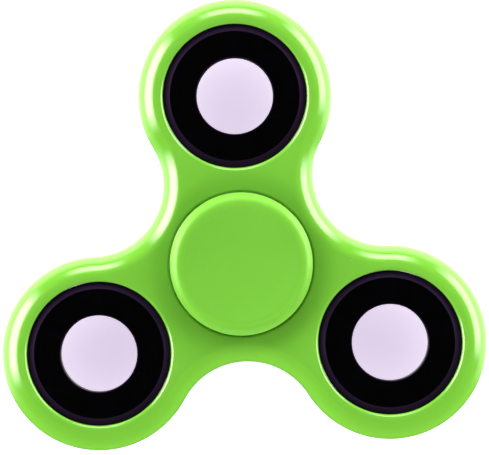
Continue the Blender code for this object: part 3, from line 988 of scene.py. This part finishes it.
@dataclass
class SpinnerBody:
    """The three-lobed body: one third of it is modelled, and repeated round the axis."""

    lobes: int = 3
    lobe_distance: float = 25.75 * MM
    lobe_radius: float = 14.85 * MM
    waist: float = 14.95 * MM
    thickness: float = 7.3 * MM
    edge_radius: float = 3.2 * MM
    bore_radius: float = 11.03 * MM
    bore_fillet: float = 0.5 * MM
    seam_depth: float = 0.03 * MM
    seam_half_width: float = 0.07 * MM
    seam_fillet: float = 0.02 * MM
    pin_mark_radius: float = 0.8 * MM
    pin_mark_depth: float = 0.06 * MM
    pin_mark_place: Span = (15.5 * MM, math.radians(28))
    pin_mark_steps: int = 32
    lobe_steps: int = 96
    valley_steps: int = 14
    bore_steps: int = 144
    edge_steps: int = 18

    @property
    def lobe_step(self) -> float:
        """Angle from one lobe to the next."""
        return FULL_TURN / self.lobes

    @property
    def valley_radius(self) -> float:
        """Radius of the concave arc that joins two lobes and is tangent to both."""
        reach = self.lobe_distance * math.cos(self.lobe_step / 2)
        over = self.lobe_radius**2 - self.lobe_distance**2 - self.waist**2 + 2 * reach * self.waist
        return over / (2 * self.waist - 2 * reach - 2 * self.lobe_radius)

    def outline(self, inset: float) -> list[Vector]:
        """The outline of one third, from one waist round the lobe on +X to the other.

        Args:
            inset: How far inside the outermost outline it runs.

        Returns:
            Points in anticlockwise order. The first and last lie on the planes between lobes.
        """
        half = self.lobe_step / 2
        distance = self.waist + self.valley_radius
        across, along = distance * math.sin(half), distance * math.cos(half) - self.lobe_distance
        lobe_half = math.atan2(across, along)
        hollow = self.valley_radius + inset
        start, end = half + math.pi, lobe_half + math.pi
        upper = arc(polar(distance, half), hollow, end, start, self.valley_steps)
        lower = [Vector((p.x, -p.y, 0)) for p in reversed(upper)]
        lobe_centre = Vector((self.lobe_distance, 0, 0))
        lobe = arc(lobe_centre, self.lobe_radius - inset, -lobe_half, lobe_half, self.lobe_steps)
        return [*lower, *lobe[1:-1], *upper]

    def outer_section(self) -> list[SectionPoint]:
        """The outer edge from the top face's rim to the bottom's: across is the inset."""
        top, r = self.thickness / 2, self.edge_radius
        flat = Corner(r + 2 * HOLD, top)
        shoulder = Corner(0, top, r, self.edge_steps, worn=False)
        seam = Corner(0, self.seam_half_width, self.seam_fillet, 2, worn=False)
        middle = Corner(self.seam_depth, 0, self.seam_fillet, 2, worn=False)
        return rounded(mirrored([flat, shoulder, seam, middle]), closed=False)

    def bore_section(self) -> list[SectionPoint]:
        """A bore's wall from the top face's rim to the bottom's: across is the radius."""
        top, r = self.thickness / 2, self.bore_fillet
        upper = [Corner(self.bore_radius + r + 2 * HOLD, top), Corner(self.bore_radius, top, r, 8)]
        return rounded(mirrored(upper), closed=False)

    def third(self) -> bpy.types.Object:
        """One third of the body, with its lobe on +X, open where it meets the others."""
        maker = MeshMaker()
        wall = self.outer_section()
        outside = [maker.row(raised(self.outline(p.across), p.up), p.edge) for p in wall]
        maker.skin(outside, closed=False)

        half = self.lobe_step / 2
        hub_steps = self.bore_steps // self.lobes
        bore = self.bore_section()
        hub = [maker.row(raised(arc(ORIGIN, p.across, -half, half, hub_steps), p.up), p.edge) for p in bore]
        maker.skin(hub, closed=False)
        centre = Vector((self.lobe_distance, 0, 0))
        lobe = maker.turn(bore, self.bore_steps, closed=False, centre=centre)
        maker.fill([[*outside[0], *reversed(hub[0])], lobe[0]])
        maker.fill([[*outside[-1], *reversed(hub[-1])], lobe[-1], *self.pin_marks(maker)])
        return maker.finished("body_third")

    def pin_marks(self, maker: MeshMaker) -> list[list[bmesh.types.BMVert]]:
        """Shallow round marks on the underside, where pins pushed the body out of its mould.

        Returns:
            The rim of each mark, for the underside to leave room for.
        """
        bottom, deep = -self.thickness / 2, self.pin_mark_depth
        radius, fillet = self.pin_mark_radius, self.pin_mark_depth / 3
        corners = [
            Corner(radius + 3 * HOLD, bottom),
            Corner(radius, bottom, fillet, 3),
            Corner(radius, bottom + deep, fillet, 3),
            Corner(0, bottom + deep),
        ]
        section = rounded(corners, closed=False)
        distance, angle = self.pin_mark_place
        centres = [polar(distance, side.value * angle) for side in Side]
        return [maker.turn(section, self.pin_mark_steps, closed=False, centre=c)[0] for c in centres]

    def build(self) -> None:
        """Makes the body and fits it."""
        material = BODY_PLASTIC.material()
        sizes = {
            "Count": self.lobes,
            "Spaces": self.lobes,
            "First Angle": math.pi / 2,
            "Material": material,
        }
        piece = SpacedRoundAxis().made("body_shell", self.third(), sizes)
        fitted(piece, material, "rotor", "spinner_body")


def raised(places: Sequence[Vector], height: float) -> list[Vector]:
    """The same points at another height."""
    return [Vector((p.x, p.y, height)) for p in places]


@dataclass
class RingWeights:
    """The steel rings in the lobes, turned with a broad chamfer and a fine one at the hole."""

    body: SpinnerBody
    radius: float = 11.0 * MM
    hole_radius: float = 5.85 * MM
    width: float = 7.0 * MM
    chamfer: Span = (1.05 * MM, 0.75 * MM)
    hole_chamfer: float = 0.15 * MM
    steps: int = 144

    def blank(self) -> bpy.types.Object:
        """One ring with its centre at the origin."""
        top = self.width / 2
        wide, deep = self.chamfer
        half = [
            Corner(self.hole_radius, top - self.hole_chamfer, 0.05 * MM, 3),
            Corner(self.hole_radius + self.hole_chamfer, top, 0.05 * MM, 3),
            Corner(self.radius - wide, top, 0.12 * MM, 4),
            Corner(self.radius, top - deep, 0.12 * MM, 4),
        ]
        return turned("ring_blank", rounded(mirrored(half)), self.steps)

    def build(self) -> None:
        """Makes the rings and fits each into its lobe."""
        for number in range(self.body.lobes):
            angle = math.pi / 2 + number * self.body.lobe_step
            material = BLACK_OXIDE.material(polar(self.body.lobe_distance, angle))
            sizes = {
                "Count": 1,
                "Distance": self.body.lobe_distance,
                "First Angle": angle,
                "Material": material,
            }
            name = f"ring_weight_{number + 1}"
            piece = SpacedRoundAxis().made(f"{name}_turned", self.blank(), sizes)
            fitted(piece, material, "rotor", name)


@dataclass
class FingerCaps:
    """The two caps that the fingers hold, which plug together through the bearing."""

    radius: float = 10.95 * MM
    top: float = 6.6 * MM
    underside: float = 4.25 * MM
    edge_radius: float = 1.5 * MM
    land: float = 0.65 * MM
    dish_depth: float = 0.35 * MM
    boss_radius: float = 5.5 * MM
    boss_foot: float = 3.53 * MM
    sleeve_radius: float = 3.96 * MM
    socket_radius: float = 2.65 * MM
    socket_floor: float = 3.5 * MM
    pin_radius: float = 2.6 * MM
    stem_reach: float = 3.2 * MM
    dish_rings: int = 16
    steps: int = 144

    def dish(self) -> list[SectionPoint]:
        """The shallow dish, from its middle to a little inside its rim."""
        wide = self.radius - self.edge_radius - self.land
        shares = [i / self.dish_rings for i in range(self.dish_rings)]
        return [SectionPoint(wide * s, self.top - self.dish_depth * (1 - s * s)) for s in shares]

    def rim(self) -> list[Corner]:
        """The land, the rounded rim, the underside and the boss, down to the boss's foot."""
        wide = self.radius - self.edge_radius - self.land
        return [
            Corner(wide, self.top, 0.8 * MM, 6, worn=False),
            Corner(self.radius, self.top, self.edge_radius, 14, worn=False),
            Corner(self.radius, self.underside, 0.3 * MM, 5),
            Corner(self.boss_radius, self.underside, 0.15 * MM, 3, worn=False),
            Corner(self.boss_radius, self.boss_foot, 0.15 * MM, 3),
        ]

    def stem(self, side: Side) -> list[Corner]:
        """The part inside the bearing: a pin on the upper cap, and a hollow sleeve on the lower."""
        foot, reach = self.boss_foot, self.stem_reach
        if side is Side.UPPER:
            return [
                Corner(self.pin_radius, foot, 0.1 * MM, 3, worn=False),
                Corner(self.pin_radius, -reach, 0.4 * MM, 4),
                Corner(0, -reach),
            ]
        return [
            Corner(self.sleeve_radius, foot, 0.1 * MM, 3, worn=False),
            Corner(self.sleeve_radius, -reach, 0.35 * MM, 4),
            Corner(self.socket_radius, -reach, 0.35 * MM, 4),
            Corner(self.socket_radius, self.socket_floor, 0.2 * MM, 3, worn=False),
            Corner(0, self.socket_floor),
        ]

    def cap(self, side: Side) -> bpy.types.Object:
        """One whole cap, in place."""
        dish = self.dish()
        lead = Corner(dish[-1].across, dish[-1].up)
        rest = rounded([lead, *self.rim(), *self.stem(side)], closed=False)
        section = facing(side, [*dish[:-1], *rest])
        return turned(f"cap_{side.word}_moulded", section, self.steps, closed=False)

    def build(self) -> None:
        """Makes both caps and fits them."""
        for side in Side:
            piece = self.cap(side)
            fitted(piece, CAP_PLASTIC.material(), "hub", f"finger_cap_{side.word}")


@dataclass
class BearingRings:
    """The bearing's two rings, each with a raceway ground into it."""

    width: float = 7.0 * MM
    bore_radius: float = 4.0 * MM
    radius: float = 11.0 * MM
    groove_radius: float = 2.06 * MM
    outer_groove: float = 9.56 * MM
    inner_groove: float = 5.476 * MM
    outer_shoulder: float = 8.95 * MM
    inner_shoulder: float = 6.05 * MM
    chamfer: float = 0.35 * MM
    mouth_radius: float = 9.7 * MM
    seat_radius: float = 9.95 * MM
    lip: float = 0.2 * MM
    recess: float = 0.75 * MM
    groove_steps: int = 16
    steps: int = 128

    def groove(self, bottom: float, shoulder: float, outside: bool) -> list[SectionPoint]:
        """The raceway's arc, from its upper shoulder to its lower one.

        Args:
            bottom: Radius of the raceway's deepest line.
            shoulder: Radius of the cylinder that it is ground into.
            outside: Whether the ring is outside the balls.

        Returns:
            The arc's points.
        """
        way = 1 if outside else -1
        middle = bottom - way * self.groove_radius
        half = math.acos((shoulder - middle) * way / self.groove_radius)
        points = []
        for i in range(self.groove_steps + 1):
            angle = half - 2 * half * i / self.groove_steps
            across = middle + way * self.groove_radius * math.cos(angle)
            points.append(SectionPoint(across, self.groove_radius * math.sin(angle)))
        return points

    def ring(self, name: str, upper: list[Corner], groove: list[SectionPoint]) -> bpy.types.Object:
        """Turns a ring from the corners above its raceway, which are mirrored below."""
        start = Corner(groove[0].across, groove[0].up)
        above = rounded([Corner(upper[0].across, 0), *upper, start], closed=False)[1:-1]
        return turned(name, [*above, *groove, *facing(Side.LOWER, above[::-1])], self.steps)

    def build(self) -> None:
        """Makes both rings and fits them."""
        top, c = self.width / 2, self.chamfer
        seat = top - self.recess
        outer = [
            Corner(self.radius, top - c, 0.08 * MM, 3),
            Corner(self.radius - c, top, 0.08 * MM, 3),
            Corner(self.mouth_radius, top, 0.05 * MM, 3),
            Corner(self.mouth_radius, top - self.lip, 0.04 * MM, 3),
            Corner(self.seat_radius, top - self.lip, 0.04 * MM, 3, worn=False),
            Corner(self.seat_radius, seat, 0.04 * MM, 3, worn=False),
            Corner(self.outer_shoulder, seat, 0.08 * MM, 3),
        ]
        inner = [
            Corner(self.bore_radius, top - c, 0.08 * MM, 3),
            Corner(self.bore_radius + c, top, 0.08 * MM, 3),
            Corner(self.inner_shoulder - c, top, 0.08 * MM, 3),
            Corner(self.inner_shoulder, top - c, 0.08 * MM, 3),
        ]
        for name, body, corners, groove in (
            ("outer", "rotor", outer, self.groove(self.outer_groove, self.outer_shoulder, True)),
            ("inner", "hub", inner, self.groove(self.inner_groove, self.inner_shoulder, False)),
        ):
            piece = self.ring(f"race_{name}_ground", corners, groove)
            fitted(piece, RACE_STEEL.material(), body, f"bearing_{name}_ring")


@dataclass
class BearingShields:
    """The pressed shields over the balls, and the split clips that hold them in."""

    rings: BearingRings
    thickness: float = 0.25 * MM
    rim_radius: float = 9.65 * MM
    step_outer: float = 8.85 * MM
    step_inner: float = 8.55 * MM
    step_height: float = 0.15 * MM
    hole_radius: float = 6.3 * MM
    fit_gap: float = 0.03 * MM
    clip_radii: Span = (9.4 * MM, 9.88 * MM)
    clip_thickness: float = 0.22 * MM
    clip_opening: float = math.radians(20)
    steps: int = 128

    @property
    def seat(self) -> float:
        """Height of the shield's rim where it lies on its seat."""
        return self.rings.width / 2 - self.rings.recess + self.fit_gap

    def shield(self, side: Side) -> bpy.types.Object:
        """One shield, in place."""
        low, web, t = self.seat, self.seat + self.step_height, self.thickness
        small = 0.05 * MM
        corners = [
            Corner(self.rim_radius, low, small, 3),
            Corner(self.rim_radius, low + t, small, 3),
            Corner(self.step_outer, low + t, 0.1 * MM, 3, worn=False),
            Corner(self.step_inner, web + t, 0.1 * MM, 3),
            Corner(self.hole_radius, web + t, 0.1 * MM, 3),
            Corner(self.hole_radius, low, small, 3),
            Corner(self.hole_radius + t, low, small, 3),
            Corner(self.hole_radius + t, web, small, 3, worn=False),
            Corner(self.step_inner, web, small, 3, worn=False),
            Corner(self.step_outer, low, small, 3),
        ]
        return turned(f"shield_{side.word}_pressed", facing(side, rounded(corners)), self.steps)

    def clip(self, side: Side) -> bpy.types.Object:
        """One split clip, in place, with flat ends."""
        low = self.seat + self.thickness + self.fit_gap
        high = low + self.clip_thickness
        near, far = self.clip_radii
        places = ((near, low), (far, low), (far, high), (near, high))
        section = facing(side, rounded([Corner(r, z, 0.04 * MM, 3) for r, z in places]))
        sweep = FULL_TURN - self.clip_opening
        maker = MeshMaker()
        rows = []
        for i in range(self.steps + 1):
            angle = sweep * i / self.steps
            rows.append([maker.vertex(polar(p.across, angle, p.up), p.edge) for p in section])
        maker.skin(rows)
        for row in (rows[0], rows[-1]):
            maker.bm.faces.new(row)
        return maker.finished(f"clip_{side.word}_sprung")

    def build(self) -> None:
        """Makes the shields and clips and fits them."""
        for side in Side:
            shield, clip = f"bearing_shield_{side.word}", f"shield_clip_{side.word}"
            fitted(self.shield(side), SHIELD_STEEL.material(), "rotor", shield)
            fitted(self.clip(side), CLIP_STEEL.material(), "rotor", clip)


@dataclass
class BallSet:
    """The balls, and the riveted cage that keeps them apart."""

    balls: int = 7
    ball_radius: float = 1.984 * MM
    pitch_radius: float = 7.5 * MM
    pocket_radius: float = 2.12 * MM
    ribbon_radii: Span = (6.55 * MM, 8.45 * MM)
    ribbon_thickness: float = 0.4 * MM
    half_gap: float = 0.02 * MM
    rivet_radius: float = 0.3 * MM
    rivet_hole_radius: float = 0.36 * MM
    rivet_head_radius: float = 0.6 * MM
    rivet_head_height: float = 0.22 * MM
    head_gap: float = 0.03 * MM
    rivet_steps: int = 32
    ball_divisions: int = 5

    def ball(self) -> bpy.types.Object:
        """One ball at the origin."""
        maker = MeshMaker()
        bmesh.ops.create_icosphere(maker.bm, subdivisions=self.ball_divisions, radius=self.ball_radius)
        return maker.finished("ball_blank", recalculate=False)

    def rivet(self) -> bpy.types.Object:
        """One closed rivet at the origin."""
        grip = self.half_gap + self.ribbon_thickness + self.head_gap
        half = [
            Corner(0, grip + self.rivet_head_height),
            Corner(self.rivet_head_radius, grip + self.rivet_head_height, 0.16 * MM, 5),
            Corner(self.rivet_head_radius, grip, 0.03 * MM, 2),
            Corner(self.rivet_radius, grip, 0.03 * MM, 2, worn=False),
        ]
        section = rounded(mirrored(half), closed=False)
        return turned("rivet_blank", section, self.rivet_steps, closed=False)

    def build(self) -> None:
        """Makes the balls, ribbons and rivets and fits them."""
        step = FULL_TURN / self.balls
        for number in range(self.balls):
            sizes = {"Count": 1, "Distance": self.pitch_radius, "First Angle": number * step}
            name = f"bearing_ball_{number + 1}"
            piece = SpacedRoundAxis().made(f"{name}_lapped", self.ball(), sizes)
            fitted(piece, BALL_STEEL.material(), f"ball_{number + 1}", name)
            sizes["First Angle"] = (number + 0.5) * step
            name = f"cage_rivet_{number + 1}"
            piece = SpacedRoundAxis().made(f"{name}_closed", self.rivet(), sizes)
            fitted(piece, RIVET_STEEL.material(), "cage", name)
        near, far = self.ribbon_radii
        for side in Side:
            sizes = {
                "Balls": self.balls,
                "Side": float(side.value),
                "Pitch Radius": (near + far) / 2,
                "Pocket Radius": self.pocket_radius,
                "Thickness": self.ribbon_thickness,
                "Width": far - near,
                "Half Gap": self.half_gap,
                "Hole Radius": self.rivet_hole_radius,
                "Material": CAGE_STEEL.material(),
            }
            start = MeshMaker().finished("ribbon_blank")
            piece = CageRibbon().made(f"ribbon_{side.word}_pressed", start, sizes)
            fitted(piece, CAGE_STEEL.material(), "cage", f"cage_ribbon_{side.word}")


# ---- studio -------------------------------------------------------------------------------------


@dataclass(frozen=True)
class SoftBox:
    """A rectangular studio light that faces the object and doesn't show in its gloss.

    Attributes:
        name: The light's name.
        azimuth: Direction from the object, anticlockwise from +X, in degrees.
        elevation: Angle above the floor, in degrees.
        size: Its width and height.
        radiance: How bright its face is.
        distance: How far away it is.
    """

    name: str
    azimuth: float
    elevation: float
    size: Span
    radiance: float
    distance: float = 1.0

    def build(self) -> None:
        """Adds the light."""
        width, height = self.size
        lamp = bpy.data.lights.new(self.name, "AREA")
        lamp.shape = "RECTANGLE"
        lamp.size, lamp.size_y = width, height
        lamp.energy = self.radiance * math.pi * width * height
        made = linked(self.name, lamp)
        azimuth, elevation = math.radians(self.azimuth), math.radians(self.elevation)
        place = polar(self.distance * math.cos(elevation), azimuth, self.distance * math.sin(elevation))
        made.location = place
        made.rotation_euler = (-place).to_track_quat("-Z", "Y").to_euler()
        made.visible_camera = False
        made.visible_glossy = False


@dataclass(frozen=True)
class Reflector:
    """A soft bright patch of the surroundings that only the gloss shows.

    Attributes:
        azimuth: Direction of its middle, anticlockwise from +X, in degrees.
        elevation: Angle of its middle above the horizon, in degrees.
        half_size: Half its width and height, in degrees, where it is still at full strength.
        fade: How much wider and higher it is, in degrees, where it has faded out.
        radiance: How bright it is.
    """

    azimuth: float
    elevation: float
    half_size: Span
    fade: Span
    radiance: float

    def strength(self, graph: Graph, azimuth: object, elevation: object) -> Socket:
        """Adds nodes for how bright the patch is in a direction.

        Args:
            graph: The world's node tree.
            azimuth: The direction's azimuth, in degrees.
            elevation: Its elevation, in degrees.

        Returns:
            The patch's radiance there.
        """
        aside = graph.math("WRAP", graph.math("SUBTRACT", azimuth, self.azimuth), 180.0, -180.0)
        above = graph.math("SUBTRACT", elevation, self.elevation)
        shares = []
        for offset, half, fade in zip((aside, above), self.half_size, self.fade):
            off = graph.math("ABSOLUTE", offset)
            shares.append(graph.ease(off, half, half + fade, 1.0, 0.0))
        return graph.math("MULTIPLY", graph.math("MULTIPLY", *shares), self.radiance)


@dataclass
class Studio:
    """Pale floor, soft light and the camera.

    The dome lights all but the gloss, and the gloss shows only the reflectors.

    Attributes:
        floor_glow: Colour of the floor's own light.
        view_width: Width of the view at focus_height.
        roll: How far the camera is turned clockwise.
        aim: Where the camera is over, along its own right and up.
        horizon: Radiance of the dome at the horizon.
        zenith: Its radiance overhead.
        dome_heights: Heights, as sines, between which it changes from one to the other.
        front: How bright it is on the near side, where the far side is 1.
        front_span: How far towards the far side that changes.
        backdrop: Radiance that the camera sees beyond the floor, at least.
    """

    floor_height: float = -6.6 * MM
    floor_size: float = 40.0
    floor_colour: Colour = (0.9, 0.9, 0.9)
    floor_glow: Colour = (0.60, 0.485, 0.69)
    view_width: float = 74.81 * MM
    focal_length: float = 600.0
    sensor: float = 36.0
    focus_height: float = 3.5 * MM
    roll: float = math.radians(2.24)
    aim: Span = (0.49 * MM, 5.58 * MM)
    reflector_colour: Colour = (1.0, 1.0, 0.84)
    horizon: float = 2.4
    zenith: float = 0.15
    dome_heights: Span = (0.0, 0.9)
    front: float = 0.8
    front_span: Span = (-0.9, 0.1)
    backdrop: float = 1.2
    lights: tuple[SoftBox, ...] = (
        SoftBox("key", 132, 30, (0.50, 0.50), 3.6),
        SoftBox("left", 180, 20, (0.80, 0.40), 2.5),
        SoftBox("right", 10, 20, (0.80, 0.40), 2.9),
        SoftBox("back", 80, 20, (0.80, 0.40), 4.6),
        SoftBox("front", 270, 22, (0.80, 0.40), 2.4),
    )
    reflectors: tuple[Reflector, ...] = (
        Reflector(167, 29, (17, 12), (20, 21), 8.8),
        Reflector(20, 20, (18, 9), (20, 20), 5.8),
        Reflector(90, 37, (10, 6), (16, 15), 5.2),
        Reflector(90, -40, (95, 30), (30, 24), 1.9),
    )

    def build(self) -> None:
        """Makes the whole studio."""
        self.floor()
        self.world()
        self.camera()
        for light in self.lights:
            light.build()
        bpy.context.scene.view_settings.view_transform = "Standard"

    def floor(self) -> None:
        """A wide pale floor that glows faintly, as a light table does."""
        maker = MeshMaker()
        bmesh.ops.create_grid(maker.bm, x_segments=1, y_segments=1, size=self.floor_size / 2)
        floor = maker.finished("floor", recalculate=False)
        floor.location.z = self.floor_height
        material = bpy.data.materials.new("floor_white")
        material.use_nodes = True
        looks = {
            "Base Color": opaque(self.floor_colour),
            "Roughness": 0.9,
            "Specular IOR Level": 0.0,
            "Emission Color": opaque(self.floor_glow),
            "Emission Strength": 1.0,
        }
        Graph(material.node_tree).feed(material.node_tree.nodes["Principled BSDF"], looks)
        floor.data.materials.append(material)
        floor.visible_glossy = False

    def world(self) -> None:
        """A dome that is bright low down, for diffuse light, and the reflectors, for the gloss."""
        world = bpy.data.worlds.new("studio")
        bpy.context.scene.world = world
        world.use_nodes = True
        graph = Graph(world.node_tree)
        way = graph.node("ShaderNodeTexCoord").outputs["Generated"]
        x, y, z = graph.parts(way)
        azimuth = graph.math("DEGREES", graph.math("ARCTAN2", y, x))
        elevation = graph.math("DEGREES", graph.math("ARCSINE", z))
        dome = graph.ease(z, *self.dome_heights, self.horizon, self.zenith)
        dome = graph.math("MULTIPLY", dome, graph.ease(y, *self.front_span, self.front, 1.0))
        shine = 0.0
        for reflector in self.reflectors:
            shine = graph.math("ADD", reflector.strength(graph, azimuth, elevation), shine)
        paths = graph.node("ShaderNodeLightPath").outputs
        light = graph.out("ShaderNodeMix", {0: paths["Is Glossy Ray"], 2: dome, 3: shine})
        seen = graph.math("MULTIPLY", paths["Is Camera Ray"], self.backdrop)
        light = graph.math("MAXIMUM", light, seen)
        white, shone = opaque((1.0, 1.0, 1.0)), opaque(self.reflector_colour)
        colour = graph.mix(paths["Is Glossy Ray"], white, shone)
        graph.feed(world.node_tree.nodes["Background"], {"Color": colour, "Strength": light})

    def camera(self) -> None:
        """Looks straight down through a long lens, turned a little against the lobes."""
        lens = bpy.data.cameras.new("camera")
        lens.lens, lens.sensor_width = self.focal_length, self.sensor
        made = linked("camera", lens)
        right = polar(1, -self.roll)
        up = polar(1, math.pi / 2 - self.roll)
        away = self.view_width * self.focal_length / self.sensor
        lens.clip_start, lens.clip_end = 0.1, 100.0
        made.location = right * self.aim[0] + up * self.aim[1] + Vector((0, 0, self.focus_height + away))
        made.rotation_euler = (0, 0, -self.roll)
        bpy.context.scene.camera = made


def main() -> None:
    """Builds the studio and every piece."""
    logging.basicConfig(level=logging.INFO, format="%(name)s: %(message)s")
    body = SpinnerBody()
    rings = BearingRings()
    for part in (Studio(), body, RingWeights(body), FingerCaps(), rings, BearingShields(rings), BallSet()):
        part.build()
        LOG.info("%s done", type(part).__name__)


if __name__ == "__main__":
    main()
